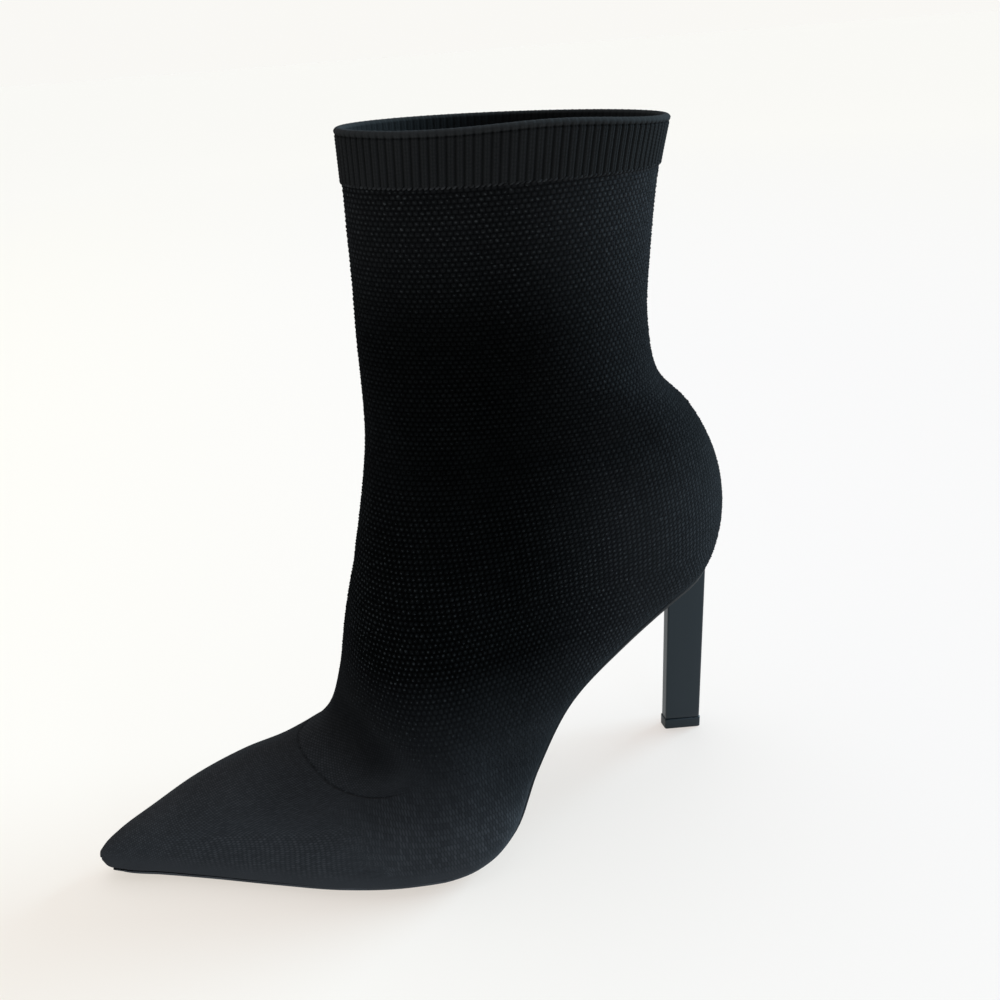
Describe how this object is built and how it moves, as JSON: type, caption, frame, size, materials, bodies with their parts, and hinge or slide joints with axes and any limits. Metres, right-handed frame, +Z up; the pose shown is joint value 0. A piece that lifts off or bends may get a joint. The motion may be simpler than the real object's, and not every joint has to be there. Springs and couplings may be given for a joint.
{
  "type": "knit ankle boot",
  "caption": "Slim knitted sock ankle boot with a pointed toe, a ribbed collar, a thin arched sole and a tall slim block heel, worn on the left foot.",
  "frame": {"origin": "middle of the heel tip's floor face, on the floor plane", "axes": "-X towards the toe, -Y towards the outer side of the foot, +Y towards the inner side, +Z up"},
  "size_m": [0.2469, 0.0869, 0.2494],
  "materials": {
    "knit": "black stretch knit, matt, tuck stitch on the leg and finer stitch over the toe",
    "sole": "matt black thin sole",
    "lining": "matt dark footbed",
    "heel_cover": "satin black heel block",
    "tip": "matt black wearing piece"
  },
  "bodies": {
    "root": {"upper": "knit", "outsole": "sole", "insole": "lining", "heel": "heel_cover", "heel_tip": "tip"}
  },
  "joints": []
}
